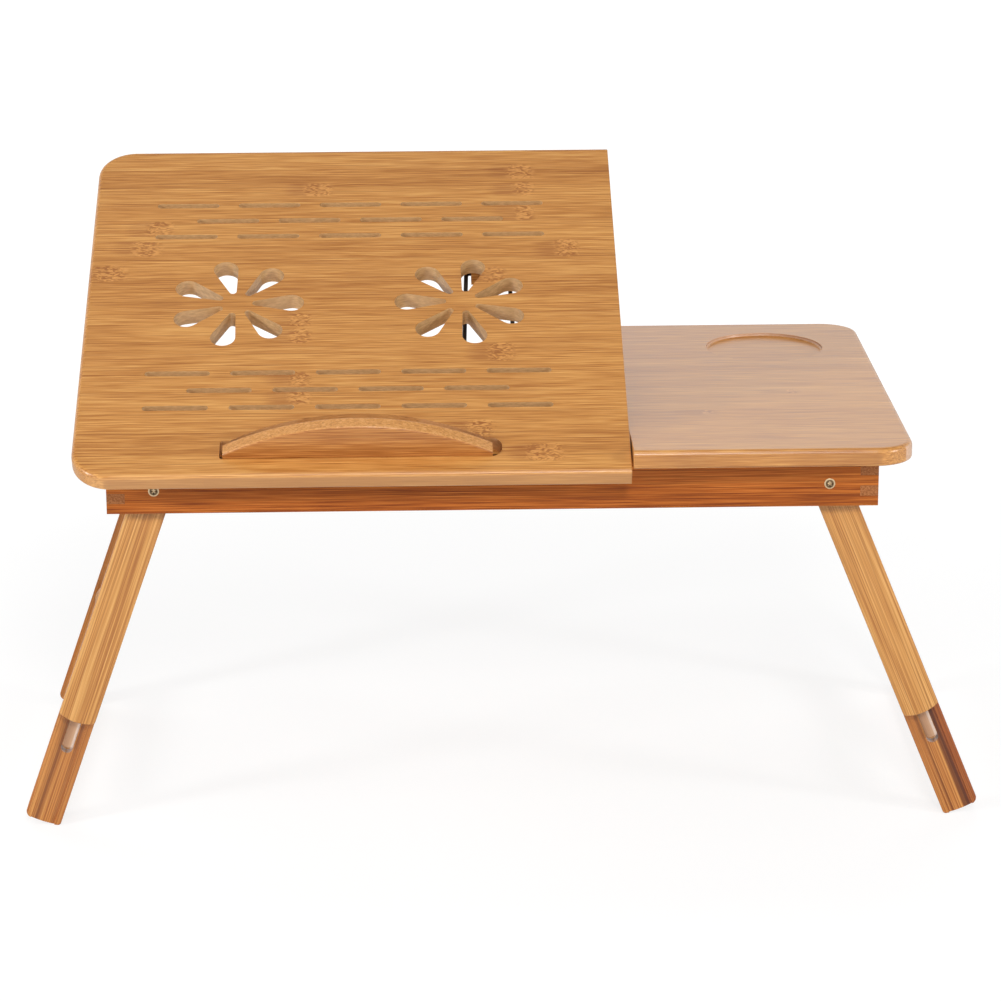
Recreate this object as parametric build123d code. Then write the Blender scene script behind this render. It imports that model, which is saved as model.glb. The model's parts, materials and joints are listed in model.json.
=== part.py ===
"""Bamboo laptop table: a tilting vented panel and a fixed panel on a frame with four folding legs.

Millimetres. X runs left to right, Y from front to back, Z up. The origin is on the floor, midway
between the outermost points of the feet and midway along the depth of the top.
"""
from build123d import *
import math
import os

os.makedirs("parts", exist_ok=True)

# Corners and edges are picked out by their places within this distance
NEAR = 0.001
# Cutting shapes stand out of the faces that they open by this much
OVERCUT = 1.0

# Top
TOP_LENGTH = 550.0
TOP_DEPTH = 350.0
TOP_HEIGHT = 274.4
PANEL_THICK = 12.0
FIXED_LENGTH = 184.4
PANEL_GAP = 1.0
CORNER_RADIUS = 26.0
TOP_EDGE_ROUND = 3.5
UNDER_EDGE_ROUND = 2.0
CUT_EDGE_ROUND = 0.6
TILT_ANGLE = 26.0
LARGEST_TILT = 35.0
# The tilting panel is this much thinner, so that it closes flush without rubbing on the frame
CLOSING_CLEARANCE = 0.2

# Cup recess in the fixed panel
CUP_RADIUS = 42.0
CUP_DEPTH = 2.5
CUP_FLOOR_ROUND = 1.5
CUP_FROM_END = 73.0
CUP_FROM_BACK = 72.4

# Vents in the tilting panel
SLOT_LENGTH = 43.4
SLOT_WIDTH = 4.8
SLOT_PITCH = 57.1
SLOT_ROW_PITCH = 17.6
LONG_ROW_SLOTS = 5
SLOT_GROUP_OFFSET = 91.35
VENT_CENTRE_FROM_CUT = 184.8
VENT_CENTRE_FROM_FRONT = 176.4
FLOWER_OFFSET = 76.9
PETALS = 7
PETAL_START = 10.6
PETAL_END = 46.0
PETAL_ROOT_RADIUS = 2.5
PETAL_TIP_RADIUS = 8.5

# Laptop ledge that folds into a pocket of the tilting panel
LEDGE_LENGTH = 175.7
LEDGE_THICK = 10.0
LEDGE_END_HEIGHT = 13.5
LEDGE_PEAK_HEIGHT = 36.2
LEDGE_EDGE_ROUND = 1.5
LEDGE_FROM_CUT = 90.2
POCKET_FROM_FRONT = 16.4
POCKET_LEFT_GAP = 2.2
POCKET_RIGHT_GAP = 6.4
POCKET_LEFT_DEPTH = 17.5
POCKET_RIGHT_DEPTH = 18.4
POCKET_SHOULDER = 5.0
POCKET_SHOULDER_DEPTH = 18.4
POCKET_LEFT_ROUND = 2.0
POCKET_RIGHT_ROUND = 8.0
LEDGE_FINGER_GAP = 7.2
LEDGE_CLEARANCE = 0.3
LEDGE_PIN_RADIUS = 1.5
LEDGE_PIN_REACH = 9.0

# Frame under the top
FRAME_END_INSET = 20.8
FRAME_FRONT_INSET = 29.0
FRAME_HEIGHT = 35.0
FRAME_THICK = 12.0
FINGERS = 5
FINGER_CLEARANCE = 0.05
FRAME_EDGE_ROUND = 0.8
HOUSING_DEPTH = 3.0
DIVIDER_THICK = 10.0
DIVIDER_FROM_CUT = 53.0
RACK_RAIL_WIDTH = 24.0
RACK_RAIL_HEIGHT = 17.0
SUPPORT_RAIL_WIDTH = 30.0
SUPPORT_RAIL_THICK = 6.0
SUPPORT_SCREW_SPACING = 110.0

# Butt hinges along the front of the frame
HINGE_WIDTH = 40.0
HINGE_LEAF_DEPTH = 12.8
HINGE_LEAF_THICK = 1.0
HINGE_KNUCKLE_RADIUS = 2.2
HINGE_PIN_RADIUS = 1.0
HINGE_KNUCKLES = 5
HINGE_CLEARANCE = 0.3
HINGE_AXIS_FROM_FRONT = 24.7
HINGE_AXIS_DROP = 2.4
LEFT_HINGE_FROM_END = 50.6
RIGHT_HINGE_FROM_CUT = 40.0
HINGE_SCREW_SPREAD = 12.0

# Wood screws
WOOD_SCREW_RADIUS = 1.0
WOOD_SCREW_HEAD_RADIUS = 1.9
WOOD_SCREW_HEAD_HEIGHT = 0.9
WOOD_SCREW_LENGTH = 8.0
SCREW_FIT = 0.03
RUNNING_FIT = 0.05

# Legs
LEG_WIDTH = 25.0
UPPER_LEG_THICK = 9.5
LOWER_LEG_THICK = 9.5
LEFT_SPLAY = 19.55
RIGHT_SPLAY = 22.3
PIVOT_DEPTH = 31.5
LEG_STOP_GAP = 0.4
LEG_SIDE_CLEARANCE = 0.5
LEG_FACE_CLEARANCE = 0.3
LOWER_LEG_SHOWN = 79.5
LOWER_LEG_ABOVE_SLOT = 17.24
UPPER_LEG_BOW = 3.0
UPPER_LEG_CORNER = 2.5
FOOT_BOW = 1.2
FOOT_OUTER_CORNER = 5.0
FOOT_INNER_CORNER = 2.5
LOWER_LEG_TOP_CORNER = 3.0
LEG_EDGE_ROUND = 0.8
LEG_EXTENSION = 75.0
CHANNEL_WIDTH = 16.8
CHANNEL_DEPTH = 2.0
KEY_WIDTH = 7.7
KEY_SIDE_CLEARANCE = 0.2
KEY_DEPTH = 8.0
KEY_BELOW_UPPER_LEG = 23.0
KEY_LENGTH = 42.0
KEY_CORNER = 2.4
KEY_CHAMFER = 1.0
SLOT_BELOW_KEY = 4.2
SLOT_SPARE = 1.2
CROSSBAR_ABOVE_FLOOR = 10.9
CROSSBAR_WIDTH = 18.0
CROSSBAR_THICK = 14.0
CROSSBAR_ROUND = 3.0
TENON_LENGTH = 5.0
TENON_SHOULDER = 3.0

# Leg pivot screws and nuts
PIVOT_SCREW_RADIUS = 2.5
PIVOT_HEAD_RADIUS = 3.6
PIVOT_HEAD_HEIGHT = 1.6
PIVOT_HEAD_DOME = 0.7
PIVOT_RECESS_ARM = 4.2
PIVOT_RECESS_WIDTH = 1.1
PIVOT_RECESS_DEPTH = 1.3
PIVOT_NUT_FLATS = 8.0
PIVOT_NUT_THICK = 4.0

# Clamp knobs
CLAMP_ABOVE_KEY_END = 35.44
STUD_RADIUS = 2.5
STUD_IN_LEG = 7.0
STUD_IN_KNOB = 9.0
WASHER_RADIUS = 8.0
WASHER_THICK = 1.0
KNOB_RADIUS = 10.5
KNOB_NECK_RADIUS = 7.0
KNOB_NECK = 3.0
KNOB_LENGTH = 13.0
KNOB_ROUND = 2.5

# Tilt prop: a wire bail hung from a block under the tilting panel, and a notched rack
WIRE_RADIUS = 1.5
PROP_LENGTH = 139.6
PROP_TOP_WIDTH = 30.0
PROP_FOOT_WIDTH = 40.0
PROP_PIVOT_DROP = 18.0
PROP_PIVOT_FROM_FRONT = 228.5
PROP_CENTRE_FROM_CUT = 89.0
PROP_REST_ANGLE = 42.15
PROP_HOOK = 9.0
PROP_HOOK_BEND = 2.5
PROP_FOOT_BEND = 4.0
BLOCK_WIDTH = 23.0
BLOCK_DEPTH = 12.0
BLOCK_HEIGHT = 12.0
BLOCK_ROUND = 1.5
RACK_CLEARANCE = 1.4
RACK_NOTCH_RADIUS = 1.9
RACK_FRONT_MARGIN = 7.0
RACK_BACK_MARGIN = 6.5
RACK_TILTS = (10.0, 18.0, TILT_ANGLE, 31.0, LARGEST_TILT)

# Drawer under the fixed panel
DRAWER_FRONT_HEIGHT = 21.2
DRAWER_OPENING_GAP = 0.8
DRAWER_OPENING_DROP = 18.6
DRAWER_WALL = 8.0
DRAWER_SIDE_GAP = 1.2
DRAWER_BACK_GAP = 4.0
DRAWER_WALL_DROP = 2.6
DRAWER_BOTTOM_THICK = 3.0
DRAWER_BOTTOM_RAISE = 2.6
DRAWER_GROOVE = 4.0
DRAWER_KNOB_RADIUS = 7.0
DRAWER_KNOB_LENGTH = 12.0
DRAWER_KNOB_NECK = 4.0
DRAWER_KNOB_ROUND = 2.0
RUNNER_LEG_CLEARANCE = 1.6
RUNNER_WEB = 5.0
RUNNER_LEDGE = 16.0
RUNNER_PLAY = 0.6


def arc_radius(half_chord, rise):
    return (half_chord ** 2 + rise ** 2) / (2 * rise)


def arc_rise(half_chord, radius):
    return radius - math.sqrt(radius ** 2 - half_chord ** 2)


def corner_rise(bow, corner):
    """From the tip of a bowed leg end back to the middle of a corner round."""
    radius = arc_radius(LEG_WIDTH / 2, bow)
    return corner + arc_rise(LEG_WIDTH / 2 - corner, radius - corner)


def leg_length(splay):
    """Pivot to foot end along a leg that stands on the floor at this splay."""
    angle = math.radians(splay)
    side = LEG_WIDTH / 2 - FOOT_INNER_CORNER
    drop = TOP_HEIGHT - PIVOT_DEPTH - FOOT_INNER_CORNER
    return (drop - side * math.sin(angle)) / math.cos(angle) + corner_rise(FOOT_BOW, FOOT_INNER_CORNER)


def upper_leg_reach(splay):
    return leg_length(splay) - LOWER_LEG_SHOWN


def key_reach(splay):
    return upper_leg_reach(splay) + KEY_BELOW_UPPER_LEG


def pivot_inset(splay):
    """Leg pivot to the outer end of the frame, where the leg's edge stops against the side board."""
    angle = math.radians(splay)
    below = FRAME_HEIGHT + PANEL_THICK - PIVOT_DEPTH
    return FRAME_THICK + LEG_STOP_GAP + below * math.tan(angle) + LEG_WIDTH / 2 / math.cos(angle)


def foot_reach(splay):
    """Middle of the top to the outermost point of a foot."""
    angle = math.radians(splay)
    pivot = TOP_LENGTH / 2 - FRAME_END_INSET - pivot_inset(splay)
    along = (leg_length(splay) - corner_rise(FOOT_BOW, FOOT_OUTER_CORNER)) * math.sin(angle)
    across = (LEG_WIDTH / 2 - FOOT_OUTER_CORNER) * math.cos(angle)
    return pivot + along + across + FOOT_OUTER_CORNER


# Places worked out from the sizes above
TOP_X = (foot_reach(LEFT_SPLAY) - foot_reach(RIGHT_SPLAY)) / 2
TOP_LEFT = TOP_X - TOP_LENGTH / 2
TOP_RIGHT = TOP_X + TOP_LENGTH / 2
FIXED_LEFT = TOP_RIGHT - FIXED_LENGTH
CUT_X = FIXED_LEFT - PANEL_GAP
TOP_FRONT = -TOP_DEPTH / 2
TOP_BACK = TOP_DEPTH / 2
UNDERSIDE = TOP_HEIGHT - PANEL_THICK
TILTING_UNDERSIDE = UNDERSIDE + CLOSING_CLEARANCE

FRAME_LEFT = TOP_LEFT + FRAME_END_INSET
FRAME_RIGHT = TOP_RIGHT - FRAME_END_INSET
FRAME_FRONT = TOP_FRONT + FRAME_FRONT_INSET
FRAME_BOTTOM = UNDERSIDE - FRAME_HEIGHT
FRAME_INNER_FRONT = FRAME_FRONT + FRAME_THICK
FRAME_INNER_LEFT = FRAME_LEFT + FRAME_THICK
FRAME_INNER_RIGHT = FRAME_RIGHT - FRAME_THICK
FINGER_HEIGHT = FRAME_HEIGHT / FINGERS

HINGE_Y = TOP_FRONT + HINGE_AXIS_FROM_FRONT
HINGE_Z = TILTING_UNDERSIDE - HINGE_AXIS_DROP
HINGE_CENTRES = (TOP_LEFT + LEFT_HINGE_FROM_END, CUT_X - RIGHT_HINGE_FROM_CUT)
PANEL_LEAF_BOTTOM = TILTING_UNDERSIDE - HINGE_LEAF_THICK
FRAME_LEAF_TOP = PANEL_LEAF_BOTTOM - HINGE_CLEARANCE
FRAME_LEAF_BOTTOM = FRAME_LEAF_TOP - HINGE_LEAF_THICK

PIVOT_Z = TOP_HEIGHT - PIVOT_DEPTH
LEFT_PIVOT_X = FRAME_LEFT + pivot_inset(LEFT_SPLAY)
RIGHT_PIVOT_X = FRAME_RIGHT - pivot_inset(RIGHT_SPLAY)
UPPER_LEG_FRONT = FRAME_INNER_FRONT + LEG_SIDE_CLEARANCE
UPPER_LEG_BACK = UPPER_LEG_FRONT + UPPER_LEG_THICK
LOWER_LEG_FRONT = UPPER_LEG_BACK + LEG_FACE_CLEARANCE
LOWER_LEG_BACK = LOWER_LEG_FRONT + LOWER_LEG_THICK
LEG_SLOT_WIDTH = KEY_WIDTH + 2 * KEY_SIDE_CLEARANCE
WASHER_FRONT = LOWER_LEG_BACK + LEG_FACE_CLEARANCE
KNOB_FRONT = WASHER_FRONT + WASHER_THICK + RUNNING_FIT

# Clamps and the tops of the lower legs are level on both sides, from the mean of the left and right keys
MEAN_KEY_REACH = (key_reach(LEFT_SPLAY) + key_reach(RIGHT_SPLAY)) / 2
CLAMP_REACH = MEAN_KEY_REACH - CLAMP_ABOVE_KEY_END
SLOT_ABOVE_KEY_END = KEY_LENGTH + LEG_EXTENSION + SLOT_SPARE
LOWER_LEG_TOP = MEAN_KEY_REACH - SLOT_ABOVE_KEY_END - LOWER_LEG_ABOVE_SLOT
CROSSBAR_REACH = PIVOT_Z - CROSSBAR_ABOVE_FLOOR

LEDGE_RADIUS = LEDGE_THICK / 2
LEDGE_RIGHT = CUT_X - LEDGE_FROM_CUT
LEDGE_LEFT = LEDGE_RIGHT - LEDGE_LENGTH
LEDGE_AXIS_Y = TOP_FRONT + POCKET_FROM_FRONT + LEDGE_CLEARANCE + LEDGE_RADIUS
LEDGE_AXIS_Z = TOP_HEIGHT - LEDGE_RADIUS
POCKET_LEFT = LEDGE_LEFT - POCKET_LEFT_GAP
POCKET_RIGHT = LEDGE_RIGHT + POCKET_RIGHT_GAP
POCKET_FRONT = TOP_FRONT + POCKET_FROM_FRONT
POCKET_SHELF = TOP_HEIGHT - LEDGE_THICK - LEDGE_CLEARANCE

PROP_X = CUT_X - PROP_CENTRE_FROM_CUT
PROP_PIVOT_Y = TOP_FRONT + PROP_PIVOT_FROM_FRONT
PROP_PIVOT_Z = TOP_HEIGHT - PROP_PIVOT_DROP
BLOCK_FRONT = PROP_PIVOT_Y - BLOCK_DEPTH / 2
DIVIDER_RIGHT = CUT_X - DIVIDER_FROM_CUT
DRAWER_TOP = TOP_HEIGHT - DRAWER_OPENING_DROP - DRAWER_OPENING_GAP
DRAWER_FLOOR = DRAWER_TOP - DRAWER_FRONT_HEIGHT
DRAWER_BACK_X = DIVIDER_RIGHT + DRAWER_BACK_GAP
RUNNER_FRONT = LOWER_LEG_BACK + RUNNER_LEG_CLEARANCE
RUNNER_BACK = RUNNER_FRONT + RUNNER_WEB
DRAWER_SIDE_Y = -RUNNER_BACK - RUNNER_PLAY
DRAWER_HALF = DRAWER_SIDE_Y + DRAWER_SIDE_GAP


def block(x0, x1, y0, y1, z0, z1):
    """A rectangular block between six planes."""
    size = Box(x1 - x0, y1 - y0, z1 - z0)
    return Pos((x0 + x1) / 2, (y0 + y1) / 2, (z0 + z1) / 2) * size


def rod_x(x0, x1, y, z, radius):
    """A cylinder along X."""
    return Pos((x0 + x1) / 2, y, z) * Rot(0, 90, 0) * Cylinder(radius, x1 - x0)


def rod_y(y0, y1, x, z, radius):
    """A cylinder along Y."""
    return Pos(x, (y0 + y1) / 2, z) * Rot(90, 0, 0) * Cylinder(radius, y1 - y0)


def rod_z(z0, z1, x, y, radius):
    """A cylinder along Z."""
    return Pos(x, y, (z0 + z1) / 2) * Cylinder(radius, z1 - z0)


def joined(solids):
    """Several separate solids as one group."""
    return Compound(children=list(solids))


def mirrored(shape):
    """The same shape on the other side of the middle of the depth."""
    return mirror(shape, about=Plane.XZ)


def save(name, shape):
    shape.label = name
    export_step(shape, f"parts/{name}.step")


def tilted(shape, angle=TILT_ANGLE):
    """A shape of the flat tilting panel, turned up about the hinge axis."""
    return Pos(0, HINGE_Y, HINGE_Z) * Rot(angle, 0, 0) * Pos(0, -HINGE_Y, -HINGE_Z) * shape


def panel_blank(x0, x1, bottom, round_left):
    """A panel with two rounded outer corners, rounded outer edges and one plain cut edge."""
    outline = Pos((x0 + x1) / 2, 0) * Rectangle(x1 - x0, TOP_DEPTH)
    outer = outline.vertices().group_by(Axis.X)[0 if round_left else -1]
    outline = fillet(outer, CORNER_RADIUS)
    blank = Pos(0, 0, bottom) * extrude(outline, TOP_HEIGHT - bottom)
    cut_x = x1 if round_left else x0

    def outer_edges(face):
        return [edge for edge in face.edges() if abs(edge.center().X - cut_x) > NEAR]

    blank = fillet(outer_edges(blank.faces().sort_by(Axis.Z)[-1]), TOP_EDGE_ROUND)
    blank = fillet(outer_edges(blank.faces().sort_by(Axis.Z)[0]), UNDER_EDGE_ROUND)
    top_edges = blank.faces().sort_by(Axis.Z)[-1].edges()
    return fillet([edge for edge in top_edges if abs(edge.center().X - cut_x) < NEAR], CUT_EDGE_ROUND)


def petal(angle):
    """One teardrop of a flower vent, pointing away from the flower's centre."""
    root = PETAL_START + PETAL_ROOT_RADIUS
    tip = PETAL_END - PETAL_TIP_RADIUS
    lean = math.asin((PETAL_TIP_RADIUS - PETAL_ROOT_RADIUS) / (tip - root))
    root_x = root - PETAL_ROOT_RADIUS * math.sin(lean)
    root_y = PETAL_ROOT_RADIUS * math.cos(lean)
    tip_x = tip - PETAL_TIP_RADIUS * math.sin(lean)
    tip_y = PETAL_TIP_RADIUS * math.cos(lean)
    edges = [
        Line((root_x, root_y), (tip_x, tip_y)),
        ThreePointArc((tip_x, tip_y), (PETAL_END, 0), (tip_x, -tip_y)),
        Line((tip_x, -tip_y), (root_x, -root_y)),
        ThreePointArc((root_x, -root_y), (PETAL_START, 0), (root_x, root_y)),
    ]
    return Rot(0, 0, angle) * make_face(edges)


def flower(x, y, first_angle):
    return [Pos(x, y) * petal(first_angle + turn * 360 / PETALS) for turn in range(PETALS)]


def slot_rows(x, y):
    """Three rows of vent slots, the middle row staggered and one slot shorter."""
    slots = []
    for row in (-1, 0, 1):
        count = LONG_ROW_SLOTS - (row == 0)
        for place in range(count):
            offset = (place - (count - 1) / 2) * SLOT_PITCH
            slots.append(Pos(x + offset, y + row * SLOT_ROW_PITCH) * SlotOverall(SLOT_LENGTH, SLOT_WIDTH))
    return slots


def pocket_end(x, inner, depth, radius):
    """One end of the ledge pocket: square towards the middle, with two rounded outer corners."""
    back = POCKET_FRONT + depth
    corners = [(x, POCKET_FRONT), (inner, POCKET_FRONT), (inner, back), (x, back)]
    outline = make_face(Polyline(corners, close=True))
    return fillet([v for v in outline.vertices() if abs(v.X - x) < NEAR], radius)


def pocket_ends():
    """Both ends of the pocket, which keep a thin shelf that the folded ledge lies on."""
    left = pocket_end(POCKET_LEFT, LEDGE_LEFT + POCKET_SHOULDER, POCKET_LEFT_DEPTH, POCKET_LEFT_ROUND)
    right = pocket_end(POCKET_RIGHT, LEDGE_RIGHT - POCKET_SHOULDER, POCKET_RIGHT_DEPTH, POCKET_RIGHT_ROUND)
    return left, right


def pocket_crescent():
    """The through part of the pocket, with room for fingertips behind the peak of the folded ledge."""
    middle = (LEDGE_LEFT + LEDGE_RIGHT) / 2
    peak = LEDGE_AXIS_Y + LEDGE_PEAK_HEIGHT - LEDGE_RADIUS + LEDGE_FINGER_GAP
    left = LEDGE_LEFT + POCKET_SHOULDER
    right = LEDGE_RIGHT - POCKET_SHOULDER
    shoulder = POCKET_FRONT + POCKET_SHOULDER_DEPTH
    edges = [
        Line((left, shoulder), (left, POCKET_FRONT)),
        Line((left, POCKET_FRONT), (right, POCKET_FRONT)),
        Line((right, POCKET_FRONT), (right, shoulder)),
        ThreePointArc((right, shoulder), (middle, peak), (left, shoulder)),
    ]
    return make_face(edges)


def ledge_pin_rods(radius, spare):
    """The two ledge pins, or with spare length the holes that they turn in."""
    axis = (LEDGE_AXIS_Y, LEDGE_AXIS_Z)
    left = rod_x(POCKET_LEFT - LEDGE_PIN_REACH - spare, LEDGE_LEFT + LEDGE_PIN_REACH, *axis, radius)
    right = rod_x(LEDGE_RIGHT - LEDGE_PIN_REACH, POCKET_RIGHT + LEDGE_PIN_REACH + spare, *axis, radius)
    return left, right


def laptop_ledge():
    """The ledge as it stands: a low arch above the panel, with a full round along its foot."""
    bottom = LEDGE_AXIS_Z - LEDGE_RADIUS
    middle = (LEDGE_LEFT + LEDGE_RIGHT) / 2
    ends = bottom + LEDGE_END_HEIGHT
    peak = (middle, bottom + LEDGE_PEAK_HEIGHT)
    edges = [
        Line((LEDGE_LEFT, LEDGE_AXIS_Z), (LEDGE_RIGHT, LEDGE_AXIS_Z)),
        Line((LEDGE_RIGHT, LEDGE_AXIS_Z), (LEDGE_RIGHT, ends)),
        ThreePointArc((LEDGE_RIGHT, ends), peak, (LEDGE_LEFT, ends)),
        Line((LEDGE_LEFT, ends), (LEDGE_LEFT, LEDGE_AXIS_Z)),
    ]
    face = Plane.XZ * make_face(edges)
    arch = Pos(0, LEDGE_AXIS_Y + LEDGE_RADIUS, 0) * extrude(face, LEDGE_THICK)
    top = arch.faces().filter_by(GeomType.CYLINDER)[0]
    arch = fillet([edge for edge in top.edges() if edge.geom_type == GeomType.CIRCLE], LEDGE_EDGE_ROUND)
    ledge = arch + rod_x(LEDGE_LEFT, LEDGE_RIGHT, LEDGE_AXIS_Y, LEDGE_AXIS_Z, LEDGE_RADIUS)
    for hole in ledge_pin_rods(LEDGE_PIN_RADIUS, 0):
        ledge -= hole
    return ledge


def screw(length, flip=False):
    """A countersunk wood screw, head up at the origin, or head down if flipped."""
    profile = [
        (0, 0),
        (WOOD_SCREW_HEAD_RADIUS, 0),
        (WOOD_SCREW_RADIUS, -WOOD_SCREW_HEAD_HEIGHT),
        (WOOD_SCREW_RADIUS, -length + WOOD_SCREW_RADIUS),
        (0, -length),
    ]
    body = revolve(Plane.XZ * make_face(Polyline(profile, close=True)), Axis.Z)
    return Rot(180, 0, 0) * body if flip else body


def screw_hole(length, flip=False):
    """The pilot hole and countersink for a screw."""
    head = WOOD_SCREW_HEAD_RADIUS + SCREW_FIT
    core = WOOD_SCREW_RADIUS + SCREW_FIT
    profile = [
        (0, SCREW_FIT),
        (head, SCREW_FIT),
        (head, 0),
        (core, -WOOD_SCREW_HEAD_HEIGHT - SCREW_FIT),
        (core, -length - SCREW_FIT),
        (0, -length - SCREW_FIT),
    ]
    body = revolve(Plane.XZ * make_face(Polyline(profile, close=True)), Axis.Z)
    return Rot(180, 0, 0) * body if flip else body


def hinge_segments(centre):
    """The knuckles of one hinge, left to right, as pairs of X positions."""
    width = (HINGE_WIDTH - (HINGE_KNUCKLES - 1) * HINGE_CLEARANCE) / HINGE_KNUCKLES
    left = centre - HINGE_WIDTH / 2
    starts = [left + place * (width + HINGE_CLEARANCE) for place in range(HINGE_KNUCKLES)]
    return [(start, start + width) for start in starts]


def hinge_screw_places(centre):
    y = (FRAME_FRONT + HINGE_Y + HINGE_LEAF_DEPTH) / 2
    return [Pos(centre + side * HINGE_SCREW_SPREAD, y, 0) for side in (-1, 0, 1)]


def hinge_leaf(centre, first, bottom, pin_clearance):
    """A hinge leaf: a plate with every second knuckle, from the first one given."""
    back = HINGE_Y + HINGE_LEAF_DEPTH
    front = HINGE_Y + HINGE_KNUCKLE_RADIUS + HINGE_CLEARANCE
    top = bottom + HINGE_LEAF_THICK
    leaf = block(centre - HINGE_WIDTH / 2, centre + HINGE_WIDTH / 2, front, back, bottom, top)
    for x0, x1 in hinge_segments(centre)[first::2]:
        leaf += block(x0, x1, HINGE_Y, front, bottom, top)
        leaf += rod_x(x0, x1, HINGE_Y, HINGE_Z, HINGE_KNUCKLE_RADIUS)
    half = HINGE_WIDTH / 2
    return leaf - rod_x(centre - half, centre + half, HINGE_Y, HINGE_Z, HINGE_PIN_RADIUS + pin_clearance)


def hinge_parts():
    """Both hinges: frame leaves, panel leaves, pins and the screws of each."""
    frame_leaves, panel_leaves, pins, frame_screws, panel_screws = [], [], [], [], []
    for centre in HINGE_CENTRES:
        frame_leaf = hinge_leaf(centre, 0, FRAME_LEAF_BOTTOM, 0)
        panel_leaf = hinge_leaf(centre, 1, PANEL_LEAF_BOTTOM, RUNNING_FIT)
        for place in hinge_screw_places(centre):
            down = Pos(0, 0, FRAME_LEAF_TOP) * place
            up = Pos(0, 0, PANEL_LEAF_BOTTOM) * place
            frame_leaf -= down * screw_hole(WOOD_SCREW_LENGTH)
            panel_leaf -= up * screw_hole(WOOD_SCREW_LENGTH, flip=True)
            frame_screws.append(down * screw(WOOD_SCREW_LENGTH))
            panel_screws.append(up * screw(WOOD_SCREW_LENGTH, flip=True))
        frame_leaves.append(frame_leaf)
        panel_leaves.append(panel_leaf)
        half = HINGE_WIDTH / 2
        pins.append(rod_x(centre - half, centre + half, HINGE_Y, HINGE_Z, HINGE_PIN_RADIUS))
    return frame_leaves, panel_leaves, pins, frame_screws, panel_screws


def tilting_panel():
    """The vented panel, lying flat: slots, two flowers, the ledge pocket and the holes for its fittings."""
    panel = panel_blank(TOP_LEFT, CUT_X, TILTING_UNDERSIDE, True)
    centre_x = CUT_X - VENT_CENTRE_FROM_CUT
    centre_y = TOP_FRONT + VENT_CENTRE_FROM_FRONT
    outlines = [pocket_crescent()]
    outlines += flower(centre_x - FLOWER_OFFSET, centre_y, 0)
    outlines += flower(centre_x + FLOWER_OFFSET, centre_y, 180)
    for side in (-1, 1):
        outlines += slot_rows(centre_x, centre_y + side * SLOT_GROUP_OFFSET)
    for outline in outlines:
        panel -= Pos(0, 0, UNDERSIDE) * extrude(outline, PANEL_THICK)
    for outline in pocket_ends():
        panel -= Pos(0, 0, POCKET_SHELF) * extrude(outline, TOP_HEIGHT - POCKET_SHELF)
    for hole in ledge_pin_rods(LEDGE_PIN_RADIUS + RUNNING_FIT, SCREW_FIT):
        panel -= hole
    for centre in HINGE_CENTRES:
        for place in hinge_screw_places(centre):
            panel -= Pos(0, 0, PANEL_LEAF_BOTTOM) * place * screw_hole(WOOD_SCREW_LENGTH, flip=True)
    return panel


def fixed_panel():
    """The right-hand panel with its shallow round recess for a cup."""
    panel = panel_blank(FIXED_LEFT, TOP_RIGHT, UNDERSIDE, False)
    recess = rod_z(TOP_HEIGHT - CUP_DEPTH, TOP_HEIGHT + CUP_DEPTH, 0, 0, CUP_RADIUS)
    recess = fillet(recess.edges().sort_by(Axis.Z)[0], CUP_FLOOR_ROUND)
    panel -= Pos(TOP_RIGHT - CUP_FROM_END, TOP_BACK - CUP_FROM_BACK, 0) * recess
    for place in support_screw_places():
        panel -= place * screw_hole(support_screw_length(), flip=True)
    return panel


def end_fingers(x0, x1, y0, y1, keep, clearance=0.0):
    """The fingers of a box joint at one end, counted from the bottom; keep says which belong to the board."""
    solids = []
    for place in range(FINGERS):
        if place % 2 == keep:
            low = FRAME_BOTTOM + place * FINGER_HEIGHT
            solids.append(block(x0, x1, y0, y1, low - clearance, low + FINGER_HEIGHT + clearance))
    return solids


def pivot_screw(x):
    """A machine screw through the front board and the leg, with a raised cross-recessed head."""
    front = FRAME_FRONT
    back = UPPER_LEG_BACK + LEG_FACE_CLEARANCE + PIVOT_NUT_THICK
    dome = arc_radius(PIVOT_HEAD_RADIUS, PIVOT_HEAD_DOME)
    chord = PIVOT_HEAD_RADIUS * math.sqrt(0.5)
    bulge = PIVOT_HEAD_DOME - arc_rise(chord, dome)
    edges = [
        ThreePointArc((0, front - PIVOT_HEAD_DOME), (chord, front - bulge), (PIVOT_HEAD_RADIUS, front)),
        Line((PIVOT_HEAD_RADIUS, front), (PIVOT_SCREW_RADIUS, front + PIVOT_HEAD_HEIGHT)),
        Line((PIVOT_SCREW_RADIUS, front + PIVOT_HEAD_HEIGHT), (PIVOT_SCREW_RADIUS, back)),
        Line((PIVOT_SCREW_RADIUS, back), (0, back)),
        Line((0, back), (0, front - PIVOT_HEAD_DOME)),
    ]
    body = revolve(make_face(edges), Axis.Y)
    depth = PIVOT_HEAD_DOME + PIVOT_RECESS_DEPTH
    arm = Box(PIVOT_RECESS_ARM, depth, PIVOT_RECESS_WIDTH)
    for turn in (0, 90):
        body -= Pos(0, front - PIVOT_HEAD_DOME + depth / 2 - SCREW_FIT, 0) * Rot(0, turn, 0) * arm
    return Pos(x, 0, PIVOT_Z) * body


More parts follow.
